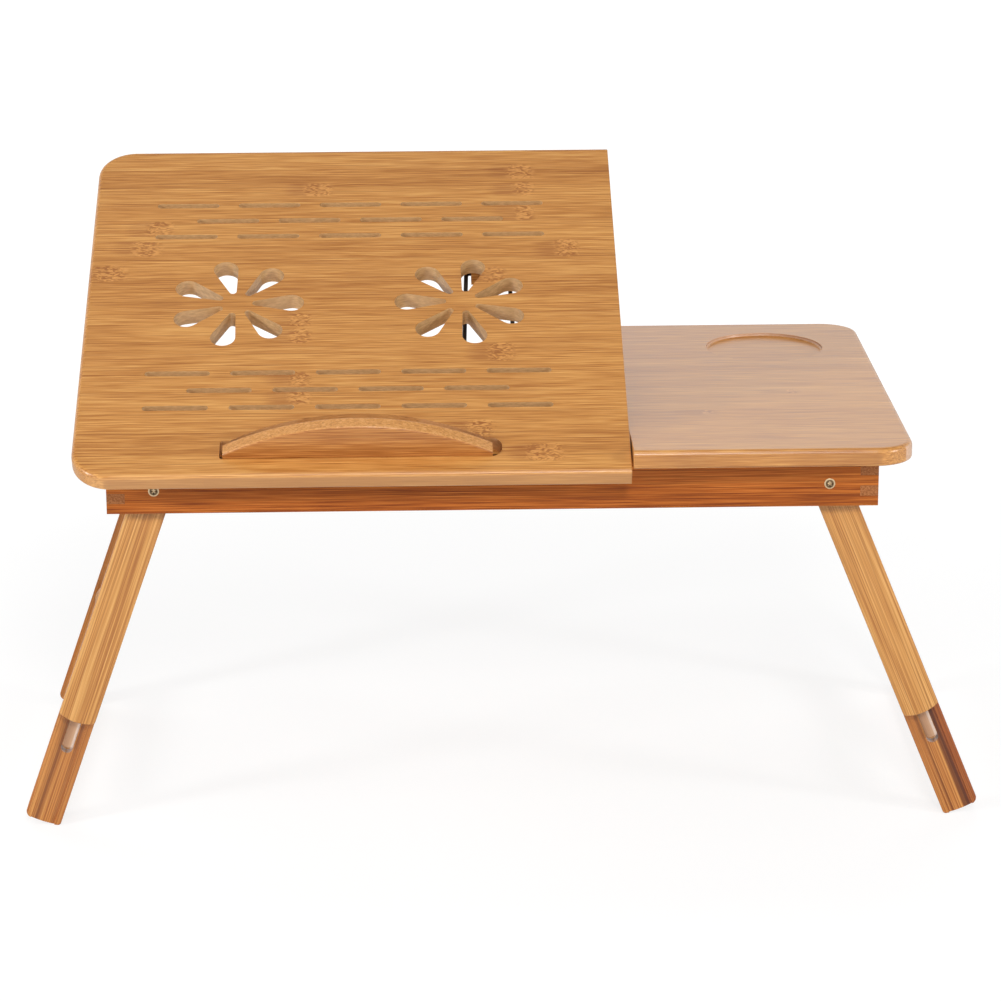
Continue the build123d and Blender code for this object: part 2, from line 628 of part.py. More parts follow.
def pivot_hole(x):
    """The clearance hole and countersink for a pivot screw in the front board."""
    shank = PIVOT_SCREW_RADIUS + SCREW_FIT
    head = PIVOT_HEAD_RADIUS + SCREW_FIT
    sink = FRAME_FRONT + PIVOT_HEAD_HEIGHT
    profile = [
        (0, FRAME_FRONT - SCREW_FIT),
        (head, FRAME_FRONT - SCREW_FIT),
        (head, FRAME_FRONT),
        (shank, sink + SCREW_FIT),
        (shank, FRAME_INNER_FRONT + SCREW_FIT),
        (0, FRAME_INNER_FRONT + SCREW_FIT),
    ]
    return Pos(x, 0, PIVOT_Z) * revolve(make_face(Polyline(profile, close=True)), Axis.Y)


def pivot_nut(x):
    """A hexagon nut on the inner end of a pivot screw."""
    outline = RegularPolygon(PIVOT_NUT_FLATS / 2, 6, major_radius=False) - Circle(PIVOT_SCREW_RADIUS)
    nut = Rot(-90, 0, 0) * extrude(outline, PIVOT_NUT_THICK)
    return Pos(x, UPPER_LEG_BACK + LEG_FACE_CLEARANCE, PIVOT_Z) * nut


def front_apron():
    """The front board, with box-joint fingers, hinge recesses and housings for the boards behind it."""
    apron = block(FRAME_LEFT, FRAME_RIGHT, FRAME_FRONT, FRAME_INNER_FRONT, FRAME_BOTTOM, UNDERSIDE)
    bottom_front = apron.edges().filter_by(Axis.X).group_by(Axis.Z)[0].sort_by(Axis.Y)[0]
    apron = fillet(bottom_front, FRAME_EDGE_ROUND)
    margin = FINGER_CLEARANCE
    left_end = (FRAME_LEFT - OVERCUT, FRAME_INNER_LEFT + margin)
    right_end = (FRAME_INNER_RIGHT - margin, FRAME_RIGHT + OVERCUT)
    for x0, x1 in (left_end, right_end):
        for finger in end_fingers(x0, x1, FRAME_FRONT - OVERCUT, FRAME_INNER_FRONT + OVERCUT, 1, margin):
            apron -= finger
    for x in (LEFT_PIVOT_X, RIGHT_PIVOT_X):
        apron -= pivot_hole(x)
    for shape in cross_boards(SCREW_FIT):
        apron -= shape
    return apron


def hinge_recess(centre):
    """The recess in the top of the front board that both leaves of a hinge fold into."""
    half = HINGE_WIDTH / 2 + HINGE_CLEARANCE
    back = HINGE_Y + HINGE_LEAF_DEPTH + HINGE_CLEARANCE
    front = FRAME_FRONT - OVERCUT
    return block(centre - half, centre + half, front, back, FRAME_LEAF_BOTTOM, UNDERSIDE + OVERCUT)


def side_board(outer_left):
    """An end board of the frame, with the middle fingers of both box joints."""
    x0 = FRAME_LEFT if outer_left else FRAME_INNER_RIGHT
    x1 = x0 + FRAME_THICK
    board = block(x0, x1, FRAME_INNER_FRONT, -FRAME_INNER_FRONT, FRAME_BOTTOM, UNDERSIDE)
    for finger in end_fingers(x0, x1, FRAME_FRONT, -FRAME_FRONT, 1):
        board += finger
    return board


def drawer_opening():
    """The opening for the drawer through the right-hand end board."""
    half = DRAWER_HALF + DRAWER_OPENING_GAP
    low = DRAWER_FLOOR - DRAWER_OPENING_GAP
    high = DRAWER_TOP + DRAWER_OPENING_GAP
    return block(FRAME_INNER_RIGHT - OVERCUT, FRAME_RIGHT + OVERCUT, -half, half, low, high)


def cross_boards(clearance=0.0):
    """The divider and the rack rail, which run between the front and rear boards."""
    reach = -FRAME_INNER_FRONT + HOUSING_DEPTH + clearance
    divider = block(
        DIVIDER_RIGHT - DIVIDER_THICK - clearance,
        DIVIDER_RIGHT + clearance,
        -reach,
        reach,
        FRAME_BOTTOM - clearance,
        UNDERSIDE + clearance,
    )
    half = RACK_RAIL_WIDTH / 2 + clearance
    rail_top = FRAME_BOTTOM + RACK_RAIL_HEIGHT + clearance
    rail = block(PROP_X - half, PROP_X + half, -reach, reach, FRAME_BOTTOM - clearance, rail_top)
    return divider, rail


def prop_pivot(tilt):
    """The prop's pivot in the YZ plane at a tilt of the panel."""
    angle = math.radians(tilt)
    along = PROP_PIVOT_Y - HINGE_Y
    above = PROP_PIVOT_Z - HINGE_Z
    y = HINGE_Y + along * math.cos(angle) - above * math.sin(angle)
    z = HINGE_Z + along * math.sin(angle) + above * math.cos(angle)
    return y, z


def prop_foot_height():
    """The height of the prop's foot bar at the rest tilt."""
    return prop_pivot(TILT_ANGLE)[1] - PROP_LENGTH * math.sin(math.radians(PROP_REST_ANGLE))


def rack_foot_y(tilt):
    """Where along the rack the foot bar stands at a tilt of the panel."""
    y, z = prop_pivot(tilt)
    drop = z - prop_foot_height()
    return y - math.sqrt(PROP_LENGTH ** 2 - drop ** 2)


def prop_rack():
    """The notched strip on the rack rail, one round notch for each tilt."""
    top = prop_foot_height() - WIRE_RADIUS - RACK_CLEARANCE
    notches = [rack_foot_y(tilt) for tilt in RACK_TILTS]
    half = RACK_RAIL_WIDTH / 2
    front = notches[0] - RACK_FRONT_MARGIN
    back = notches[-1] + RACK_BACK_MARGIN
    strip = block(PROP_X - half, PROP_X + half, front, back, FRAME_BOTTOM + RACK_RAIL_HEIGHT, top)
    for y in notches:
        strip -= rod_x(PROP_X - half, PROP_X + half, y, top, RACK_NOTCH_RADIUS)
    return strip


def prop_block():
    """The block glued under the tilting panel that carries the prop."""
    top = TILTING_UNDERSIDE
    back = BLOCK_FRONT + BLOCK_DEPTH
    half = BLOCK_WIDTH / 2
    body = block(PROP_X - half, PROP_X + half, BLOCK_FRONT, back, top - BLOCK_HEIGHT, top)
    body = fillet(body.edges().filter_by(Axis.X).group_by(Axis.Z)[0], BLOCK_ROUND)
    return body - rod_x(PROP_X - half, PROP_X + half, PROP_PIVOT_Y, PROP_PIVOT_Z, WIRE_RADIUS + RUNNING_FIT)


def prop_bail():
    """The wire prop at the rest tilt: two splayed legs, a foot bar and hooked ends in the block."""
    y, z = prop_pivot(TILT_ANGLE)
    angle = math.radians(PROP_REST_ANGLE)
    foot_y = y - PROP_LENGTH * math.cos(angle)
    foot_z = z - PROP_LENGTH * math.sin(angle)
    top_half = PROP_TOP_WIDTH / 2
    foot_half = PROP_FOOT_WIDTH / 2
    wire = []
    for side in (-1, 1):
        hook = [
            (PROP_X + side * (top_half - PROP_HOOK), y, z),
            (PROP_X + side * top_half, y, z),
            (PROP_X + side * foot_half, foot_y, foot_z),
        ]
        wire += hook if side < 0 else reversed(hook)
    bends = [PROP_HOOK_BEND, PROP_FOOT_BEND, PROP_FOOT_BEND, PROP_HOOK_BEND]
    path = FilletPolyline(*wire, radius=bends)
    section = Plane(origin=path @ 0, z_dir=path % 0) * Circle(WIRE_RADIUS)
    return sweep(section, path=path)


def leg_place(left):
    """The transform that hangs a leg, drawn straight down from its pivot, at its splay."""
    if left:
        return Pos(LEFT_PIVOT_X, 0, PIVOT_Z) * Rot(0, LEFT_SPLAY, 0)
    return Pos(RIGHT_PIVOT_X, 0, PIVOT_Z) * Rot(0, -RIGHT_SPLAY, 0)


def leg_outline(top, bottom, bow, outer, inner, left):
    """A leg board's outline, X across and Y down the leg, with a bowed lower end and rounded corners."""
    half = LEG_WIDTH / 2
    shoulder = bottom - bow
    edges = [
        Line((-half, top), (-half, shoulder)),
        ThreePointArc((-half, shoulder), (0, bottom), (half, shoulder)),
        Line((half, shoulder), (half, top)),
        Line((half, top), (-half, top)),
    ]
    outline = make_face(edges)
    rounds = (outer, inner) if left else (inner, outer)
    for x, radius in zip((-half, half), rounds):
        corner = [v for v in outline.vertices() if abs(v.X - x) < NEAR and abs(v.Y - shoulder) < NEAR]
        outline = fillet(corner, radius)
    return outline


def leg_board(outline, front, thick):
    """An outline drawn down the leg, as a board that hangs from its pivot."""
    return Pos(0, front, 0) * Rot(-90, 0, 0) * extrude(outline, thick)


def upper_leg(left):
    """An upper leg board, hung straight down from its pivot."""
    reach = upper_leg_reach(LEFT_SPLAY if left else RIGHT_SPLAY)
    straight = leg_outline(0, reach, UPPER_LEG_BOW, UPPER_LEG_CORNER, UPPER_LEG_CORNER, left)
    outline = straight + Circle(LEG_WIDTH / 2)
    board = leg_board(outline, UPPER_LEG_FRONT, UPPER_LEG_THICK)
    board = fillet(board.faces().sort_by(Axis.Y)[0].edges(), LEG_EDGE_ROUND)
    bore = PIVOT_SCREW_RADIUS + RUNNING_FIT
    board -= rod_y(UPPER_LEG_FRONT - OVERCUT, UPPER_LEG_BACK + OVERCUT, 0, 0, bore)
    return board - stud(SCREW_FIT)


def stud(clearance=0.0):
    """The threaded stud of a clamp knob, set in the upper leg from behind."""
    front = UPPER_LEG_BACK - STUD_IN_LEG - clearance
    return rod_y(front, KNOB_FRONT + STUD_IN_KNOB + clearance, 0, -CLAMP_REACH, STUD_RADIUS + clearance)


def guide_key(left):
    """The key on the back of an upper leg that runs in the lower leg's slot."""
    middle = key_reach(LEFT_SPLAY if left else RIGHT_SPLAY) - KEY_LENGTH / 2
    outline = Pos(0, middle) * RectangleRounded(KEY_WIDTH, KEY_LENGTH, KEY_CORNER)
    key = leg_board(outline, UPPER_LEG_BACK, KEY_DEPTH)
    key = chamfer(key.faces().sort_by(Axis.Y)[0].edges(), KEY_CHAMFER)
    return key - stud(SCREW_FIT)


def lower_leg(left):
    """A lower leg board with its front channel, through slot and foot, hung straight down from the pivot."""
    splay = LEFT_SPLAY if left else RIGHT_SPLAY
    length = leg_length(splay)
    outline = leg_outline(LOWER_LEG_TOP, length, FOOT_BOW, FOOT_OUTER_CORNER, FOOT_INNER_CORNER, left)
    outline = fillet(outline.vertices().group_by(Axis.Y)[0], LOWER_LEG_TOP_CORNER)
    board = leg_board(outline, LOWER_LEG_FRONT, LOWER_LEG_THICK)
    board = fillet(board.faces().sort_by(Axis.Y)[0].edges(), LEG_EDGE_ROUND)
    half = CHANNEL_WIDTH / 2
    front = LOWER_LEG_FRONT - OVERCUT
    floor = LOWER_LEG_FRONT + CHANNEL_DEPTH
    board -= block(-half, half, front, floor, -length - OVERCUT, -LOWER_LEG_TOP + OVERCUT)
    slot_end = key_reach(splay) + SLOT_BELOW_KEY
    slot_start = key_reach(splay) - SLOT_ABOVE_KEY_END
    slot = SlotOverall(slot_end - slot_start, LEG_SLOT_WIDTH, rotation=90)
    slot = Pos(0, (slot_start + slot_end) / 2) * slot
    board -= leg_board(slot, front, LOWER_LEG_THICK + 2 * OVERCUT)
    return board - crossbar_tenon(SCREW_FIT)


def crossbar_tenon(clearance=0.0):
    """The tenon of the foot crossbar in the front lower leg."""
    half_x = CROSSBAR_WIDTH / 2 - TENON_SHOULDER + clearance
    half_z = CROSSBAR_THICK / 2 - TENON_SHOULDER + clearance
    front = LOWER_LEG_BACK - TENON_LENGTH - clearance
    return block(-half_x, half_x, front, LOWER_LEG_BACK, -CROSSBAR_REACH - half_z, -CROSSBAR_REACH + half_z)


def foot_crossbar():
    """The bar that ties the front and rear lower legs of one side together."""
    outline = RectangleRounded(CROSSBAR_WIDTH, CROSSBAR_THICK, CROSSBAR_ROUND)
    bar = Pos(0, LOWER_LEG_BACK, -CROSSBAR_REACH) * Rot(-90, 0, 0) * extrude(outline, -2 * LOWER_LEG_BACK)
    tenon = crossbar_tenon()
    return bar + tenon + mirrored(tenon)


def washer():
    ring = Circle(WASHER_RADIUS) - Circle(STUD_RADIUS + RUNNING_FIT)
    return Pos(0, WASHER_FRONT, -CLAMP_REACH) * Rot(-90, 0, 0) * extrude(ring, WASHER_THICK)


def clamp_knob():
    """A turned round knob on the stud, with a narrower neck against the washer."""
    bore = STUD_RADIUS + RUNNING_FIT
    bore_end = STUD_IN_KNOB + RUNNING_FIT
    profile = [
        (bore, 0),
        (KNOB_NECK_RADIUS, 0),
        (KNOB_NECK_RADIUS, KNOB_NECK),
        (KNOB_RADIUS, KNOB_NECK),
        (KNOB_RADIUS, KNOB_LENGTH),
        (0, KNOB_LENGTH),
        (0, bore_end),
        (bore, bore_end),
    ]
    outline = make_face(Polyline(profile, close=True))
    rim = [v for v in outline.vertices() if abs(v.X - KNOB_RADIUS) < NEAR]
    outline = fillet(rim, KNOB_ROUND)
    return Pos(0, KNOB_FRONT, -CLAMP_REACH) * revolve(outline, Axis.Y)


def drawer_parts():
    """The drawer closed: front, back, two sides, bottom and knob."""
    half = DRAWER_SIDE_Y
    top = DRAWER_TOP - DRAWER_WALL_DROP
    wall_front = FRAME_INNER_RIGHT
    bottom_low = DRAWER_FLOOR + DRAWER_BOTTOM_RAISE
    bottom_high = bottom_low + DRAWER_BOTTOM_THICK
    reach = half - DRAWER_WALL + DRAWER_GROOVE
    inner_back = DRAWER_BACK_X + DRAWER_WALL
    groove_left = inner_back - DRAWER_GROOVE
    panel = block(groove_left, wall_front + DRAWER_GROOVE, -reach, reach, bottom_low, bottom_high)
    front = block(wall_front, FRAME_RIGHT, -DRAWER_HALF, DRAWER_HALF, DRAWER_FLOOR, DRAWER_TOP)
    front = fillet(front.faces().sort_by(Axis.X)[-1].edges(), FRAME_EDGE_ROUND)
    side = block(DRAWER_BACK_X, wall_front, -half, -half + DRAWER_WALL, DRAWER_FLOOR, top)
    back = block(DRAWER_BACK_X, inner_back, -half + DRAWER_WALL, half - DRAWER_WALL, DRAWER_FLOOR, top)
    middle = (DRAWER_FLOOR + DRAWER_TOP) / 2
    knob = drawer_knob(middle)
    pegged = front - drawer_peg(middle, SCREW_FIT)
    return {
        "drawer_front": pegged - panel,
        "drawer_back": back - panel,
        "drawer_side_front": side - panel,
        "drawer_side_rear": mirrored(side) - panel,
        "drawer_bottom": panel,
        "drawer_knob": knob,
    }


def drawer_peg(z, clearance=0.0):
    """The spigot of the drawer knob in the drawer front."""
    start = FRAME_RIGHT - FRAME_THICK / 2 - clearance
    return rod_x(start, FRAME_RIGHT + clearance, 0, z, DRAWER_KNOB_NECK / 2 + clearance)


def drawer_knob(z):
    """A small turned knob with a flared head."""
    profile = [
        (0, 0),
        (DRAWER_KNOB_NECK, 0),
        (DRAWER_KNOB_NECK, DRAWER_KNOB_LENGTH / 4),
        (DRAWER_KNOB_RADIUS, DRAWER_KNOB_LENGTH / 2),
        (DRAWER_KNOB_RADIUS, DRAWER_KNOB_LENGTH),
        (0, DRAWER_KNOB_LENGTH),
    ]
    outline = make_face(Polyline(profile, close=True))
    rim = [v for v in outline.vertices() if abs(v.X - DRAWER_KNOB_RADIUS) < NEAR]
    outline = fillet(rim, DRAWER_KNOB_ROUND)
    turned = revolve(outline, Axis.Y)
    return Pos(FRAME_RIGHT, 0, z) * Rot(0, 0, -90) * turned + drawer_peg(z)


def drawer_runner():
    """The front L-shaped runner between the divider and the right-hand end board."""
    ledge_top = DRAWER_FLOOR - RUNNER_PLAY
    web_top = DRAWER_TOP - DRAWER_WALL_DROP
    x0, x1 = DIVIDER_RIGHT, FRAME_INNER_RIGHT
    web = block(x0, x1, RUNNER_FRONT, RUNNER_BACK, FRAME_BOTTOM, web_top)
    ledge = block(x0, x1, RUNNER_BACK, RUNNER_FRONT + RUNNER_LEDGE, FRAME_BOTTOM, ledge_top)
    return web + ledge


def support_rail():
    """The flat rail under the left edge of the fixed panel, above the drawer."""
    low = UNDERSIDE - SUPPORT_RAIL_THICK
    x1 = FIXED_LEFT + SUPPORT_RAIL_WIDTH
    rail = block(FIXED_LEFT, x1, FRAME_INNER_FRONT, -FRAME_INNER_FRONT, low, UNDERSIDE)
    for place in support_screw_places():
        rail -= place * screw_hole(support_screw_length(), flip=True)
    return rail


def support_screw_length():
    return SUPPORT_RAIL_THICK + WOOD_SCREW_LENGTH


def support_screw_places():
    x = FIXED_LEFT + SUPPORT_RAIL_WIDTH / 2
    low = UNDERSIDE - SUPPORT_RAIL_THICK
    return [Pos(x, side * SUPPORT_SCREW_SPACING, low) for side in (-1, 0, 1)]


def save_frame():
    front = front_apron()
    save("rear_apron", mirrored(front))
    for centre in HINGE_CENTRES:
        front -= hinge_recess(centre)
        for place in hinge_screw_places(centre):
            front -= Pos(0, 0, FRAME_LEAF_TOP) * place * screw_hole(WOOD_SCREW_LENGTH)
    save("front_apron", front)
    save("left_side_board", side_board(True))
    save("right_side_board", side_board(False) - drawer_opening())
    divider, rail = cross_boards()
    save("divider_board", divider)
    save("rack_rail", rail)
    save("prop_rack", prop_rack())
    save("support_rail", support_rail())
    runner = drawer_runner()
    save("drawer_runner_front", runner)
    save("drawer_runner_rear", mirrored(runner))
    save("fixed_panel", fixed_panel())
    screws = [pivot_screw(x) for x in (LEFT_PIVOT_X, RIGHT_PIVOT_X)]
    nuts = [pivot_nut(x) for x in (LEFT_PIVOT_X, RIGHT_PIVOT_X)]
    save("pivot_screws", joined(screws + [mirrored(part) for part in screws]))
    save("pivot_nuts", joined(nuts + [mirrored(part) for part in nuts]))
    length = support_screw_length()
    save("support_screws", joined([place * screw(length, flip=True) for place in support_screw_places()]))


def save_tilting_panel():
    frame_leaves, panel_leaves, pins, frame_screws, panel_screws = hinge_parts()
    save("hinge_frame_leaves", joined(frame_leaves))
    save("hinge_pins", joined(pins))
    save("hinge_frame_screws", joined(frame_screws))
    save("hinge_panel_leaves", joined([tilted(part) for part in panel_leaves]))
    save("hinge_panel_screws", joined([tilted(part) for part in panel_screws]))
    save("tilting_panel", tilted(tilting_panel()))
    save("prop_block", tilted(prop_block()))
    save("prop_bail", prop_bail())
    save("laptop_ledge", tilted(laptop_ledge()))
    pins = [tilted(part) for part in ledge_pin_rods(LEDGE_PIN_RADIUS, 0)]
    save("ledge_pins", joined(pins))


def save_legs(left):
    side = "left" if left else "right"
    place = leg_place(left)

    def pair(shape):
        return shape, mirrored(shape)

    for end, shape in zip(("front", "rear"), pair(place * upper_leg(left))):
        save(f"{side}_{end}_upper_leg", shape)
    for end, shape in zip(("front", "rear"), pair(place * lower_leg(left))):
        save(f"{side}_{end}_lower_leg", shape)
    for end, shape in zip(("front", "rear"), pair(place * clamp_knob())):
        save(f"{side}_{end}_knob", shape)
    save(f"{side}_guide_keys", joined(pair(place * guide_key(left))))
    save(f"{side}_clamp_studs", joined(pair(place * stud())))
    save(f"{side}_clamp_washers", joined(pair(place * washer())))
    save(f"{side}_foot_crossbar", place * foot_crossbar())


def save_drawer():
    for name, shape in drawer_parts().items():
        save(name, shape)


save_frame()
save_tilting_panel()
save_legs(True)
save_legs(False)
save_drawer()
print("top centre x", round(TOP_X, 3))
print("hinge axis y, z", round(HINGE_Y, 3), round(HINGE_Z, 3))
print("leg pivots x, x, z", round(LEFT_PIVOT_X, 3), round(RIGHT_PIVOT_X, 3), round(PIVOT_Z, 3))
print("leg lengths", round(leg_length(LEFT_SPLAY), 3), round(leg_length(RIGHT_SPLAY), 3))
print("prop pivot y, z", [round(value, 3) for value in prop_pivot(TILT_ANGLE)], "x", round(PROP_X, 3))
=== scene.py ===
"""Looks of a bamboo laptop table: materials for every piece, a plain studio and the photograph's camera."""
import json
import math

import bpy
from mathutils import Matrix, Vector


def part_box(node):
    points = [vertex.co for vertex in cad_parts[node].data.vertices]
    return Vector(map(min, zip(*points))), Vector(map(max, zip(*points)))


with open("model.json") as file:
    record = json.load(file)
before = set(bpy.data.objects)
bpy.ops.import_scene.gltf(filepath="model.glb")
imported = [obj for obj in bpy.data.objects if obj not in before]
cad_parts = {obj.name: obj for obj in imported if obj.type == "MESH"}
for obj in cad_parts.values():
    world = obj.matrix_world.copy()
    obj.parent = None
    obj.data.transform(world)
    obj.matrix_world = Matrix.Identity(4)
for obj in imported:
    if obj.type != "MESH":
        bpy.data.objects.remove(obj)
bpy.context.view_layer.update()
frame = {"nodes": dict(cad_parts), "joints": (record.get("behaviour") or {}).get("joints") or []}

JOINTS = {joint["name"]: joint for joint in frame["joints"]}
MM = 0.001
RIGHT = Vector((1, 0, 0))
BACK = Vector((0, 1, 0))
UP = Vector((0, 0, 1))

# The tilting panel at rest: its hinge line and its own directions
HINGE = Vector(JOINTS["panel_tilt"]["pos_m"])
TILT = math.radians(-JOINTS["panel_tilt"]["range_deg"][0])
PANEL_BACK = Vector((0, math.cos(TILT), math.sin(TILT)))
PANEL_UP = Vector((0, -math.sin(TILT), math.cos(TILT)))

# The photograph's camera, found by fitting the object's edges
CAMERA_AT = Vector((-0.05185, -2.35113, 0.88433))
CAMERA_YAW = math.radians(1.32)
CAMERA_PITCH = math.radians(16.43)
CAMERA_ROLL = math.radians(-0.28)
SENSOR_MM = 36.0
LENS_MM = 125.58

# Light levels: the surround, and the white wall and dim ceiling that reflections see. The wall ends and the
# ceiling starts at these sines of a ray's elevation.
WORLD_LEVEL = 0.14
WALL_LEVEL = 1.08
CEILING_LEVEL = 0.25
WALL_END = 0.35
CEILING_START = 0.8
# The floor's glow for the camera, and its share, which grows to all of it between two distances in metres
FLOOR_GLOW = 1.1
GLOW_SHARE = 0.72
GLOW_NEAR = 0.4
GLOW_FAR = 1.3
FLOOR_HALF = 30.0
OBJECT_MIDDLE = Vector((0, 0, 0.2))

# From here on, sizes and coordinates on a piece are in millimetres.
# The panels: their depth, the hinge line and a line between the ledge's pocket and the vents, both behind the
# front edge, and a rim inside the outline that holds no cut-out
PANEL_DEPTH = 350.0
HINGE_SETBACK = 24.7
POCKET_EDGE = 55.0
WALL_RIM = 9.0
# Half widths of a leg and of a guide key
LEG_HALF = 12.5
KEY_HALF = 3.85
# Widths of the bamboo strips, and half the dark seam between two of them
PANEL_STRIP = 20.4
LEDGE_STRIP = 9.6
BOARD_STRIP = 8.5
TURNED_STRIP = 7.0
LEG_STRIP = 5.2
KEY_STRIP = 2.5
PLY_STRIP = 60.0
SEAM_HALF = 0.5
# The smear beside a node mark: how far left of the mark its middle lies, and its half length
SMEAR_SHIFT = 9.0
SMEAR_HALF = 15.0
# The painted shade of a pivot screw's sunk ring, between its rim and its cross recess
RING_INNER = 1.2
RING_OUTER = 2.9
RING_BLUR = 0.3
# Depths of the bumps
WOOD_BUMP = 0.05
METAL_BUMP = 0.02
COATING_BUMP = 0.03

# Noise scales, in cycles per millimetre: along the grain, across it and through the board
WANDER = (0.006, 0.0, 0.0)
BROAD = (0.006, 0.11, 0.11)
BAND = (0.014, 0.42, 0.42)
FIBRE = (0.02, 1.15, 1.15)
FINE = (0.045, 1.6, 1.6)
STREAKS = (0.009, 0.9, 0.9)
RAGGED = (0.12, 0.5, 0.5)
CRACKLE = (0.17, 0.42, 0.42)
PORES = (0.3, 0.8, 0.8)
WEAR = (0.012, 0.03, 0.03)
DUST = (0.25, 0.25, 0.9)
WEAVE = (0.4, 0.6, 0.9)
# The same in cycles per metre, for metal and its coating
BRUSHING = (900.0, 900.0, 900.0)
STAINS = (270.0, 270.0, 270.0)
COATING_GRAIN = (700.0, 700.0, 700.0)
# A seed of 1 moves a wood's noises this far, so that each piece has its own
SEED_SHIFT = Vector((37.0, 0.0, 11.0))
# How much the strips and the noises move the wood's tone, and how far seams wander as a share of a strip
STRIP_WEIGHT = 0.22
BROAD_WEIGHT = 0.38
BAND_WEIGHT = 0.4
FIBRE_WEIGHT = 1.5
FINE_WEIGHT = 1.2
WANDER_SHARE = 0.12


def srgb(red, green, blue):
    """A display colour of 0 to 255 as linear values."""

    def linear(value):
        value /= 255
        return value / 12.92 if value <= 0.04045 else ((value + 0.055) / 1.055) ** 2.4

    return (linear(red), linear(green), linear(blue), 1.0)


# Woods as they show in the photograph: light, middle and dark
GOLDS = (srgb(224, 166, 92), srgb(197, 134, 64), srgb(160, 98, 38))
LEDGES = (srgb(206, 144, 76), srgb(180, 114, 52), srgb(146, 84, 32))
LEGS = (srgb(226, 173, 103), srgb(200, 140, 70), srgb(162, 100, 42))
LOWERS = (srgb(216, 154, 82), srgb(190, 121, 54), srgb(155, 88, 34))
APRONS = (srgb(206, 124, 54), srgb(174, 94, 32), srgb(126, 60, 18))
KEYS = (srgb(200, 160, 126), srgb(176, 132, 98), srgb(160, 114, 80))
PLIES = (srgb(214, 176, 128), srgb(200, 160, 112), srgb(178, 136, 90))
# Places that differ from their wood: light and dark
MARKS = (srgb(226, 162, 88), srgb(148, 84, 34))
# Walls of the tilting panel's cut-outs: raw wood with painted light lifting their shade
VENT_WALLS_WITH_PAINTED_LIGHT = (srgb(222, 184, 132), srgb(186, 147, 101))
POCKET_WALLS_WITH_PAINTED_LIGHT = (srgb(218, 162, 104), srgb(196, 138, 82))
# The cup recess's wall and the fixed panel's right face: the panel's pale sheen painted on
CUP_WALLS_PAINTED_SHEEN = (srgb(224, 182, 148), srgb(204, 158, 124))
LEDGE_SIDES = (srgb(220, 162, 102), srgb(176, 118, 64))
ENDS = (srgb(190, 148, 102), srgb(138, 92, 52))
FINGERS = (srgb(172, 114, 68), srgb(128, 76, 42))
STREAK = srgb(140, 82, 32)
EDGE_TONE = srgb(230, 180, 124)
# Painted shade on the left of the guide keys and a painted highlight on their right edge
KEY_SHADE = srgb(150, 112, 84)
KEY_PAINTED_HIGHLIGHT = srgb(238, 222, 208)
WEAR_TINT = (0.93, 0.9, 0.88, 1.0)
# Metals and the wire's coating
BRASS = srgb(190, 162, 122)
BRASS_LIGHT = srgb(226, 204, 168)
# Painted shade in the screws' sunk ring
BRASS_RING_PAINTED_SHADE = srgb(84, 62, 40)
STEEL = srgb(196, 192, 184)
DARK_STEEL = srgb(120, 84, 52)
COATING_DARK = srgb(14, 14, 14)
COATING_LIGHT = srgb(26, 25, 24)
FLOOR_WHITE = (0.9, 0.9, 0.9, 1.0)

# Tints over the width of the lower legs, from 0 at the left to 1 at the right: painted shadow that the
# channel's outer ridge casts on its floor, painted shade in the channel's inner corner, and on the right leg
# a redder outer ridge
PLAIN = srgb(255, 255, 255)
LEFT_CHANNEL_SHADE = [
    (0.0, PLAIN),
    (0.26, PLAIN),
    (0.33, srgb(196, 184, 176)),
    (0.44, srgb(244, 242, 240)),
    (0.7, PLAIN),
    (0.75, srgb(214, 200, 188)),
    (0.8, PLAIN),
]
RIGHT_CHANNEL_SHADE_AND_RIDGE = [
    (0.0, PLAIN),
    (0.24, PLAIN),
    (0.28, srgb(206, 190, 176)),
    (0.33, PLAIN),
    (0.56, PLAIN),
    (0.62, srgb(152, 124, 100)),
    (0.74, srgb(148, 118, 92)),
    (0.8, srgb(218, 186, 158)),
    (1.0, srgb(206, 168, 138)),
]

# Node marks of the culms: their middle and their half size. In the tilting panel they are measured from its
# right and front edges, and in the fixed panel from its left and front edges.
TILTING_MARKS = [
    ((-208, 303), (11, 8)),
    ((-318, 259), (10, 9)),
    ((-326, 237), (11, 9)),
    ((-350, 210), (13, 9)),
    ((-217, 96), (8, 8)),
    ((-217, 77), (8, 8)),
    ((-64, 322), (10, 9)),
    ((-62, 302), (8, 8)),
    ((-62, 274), (7, 9)),
    ((-34, 234), (9, 10)),
    ((-86, 205), (9, 9)),
    ((-82, 122), (10, 10)),
    ((-218, 158), (8, 8)),
    ((-218, 141), (8, 8)),
    ((-98, 44), (10, 9)),
    ((-56, 20), (13, 9)),
]
FIXED_MARKS = [((118, 150), (4, 6)), ((56, 96), (4, 6))]

KNOBS = [f"{side}_{end}_knob" for side in ("left", "right") for end in ("front", "rear")]
STEEL_PIECES = [
    "hinge_frame_leaves",
    "hinge_panel_leaves",
    "hinge_pins",
    "hinge_frame_screws",
    "hinge_panel_screws",
    "support_screws",
    "left_clamp_studs",
    "right_clamp_studs",
    "left_clamp_washers",
    "right_clamp_washers",
]
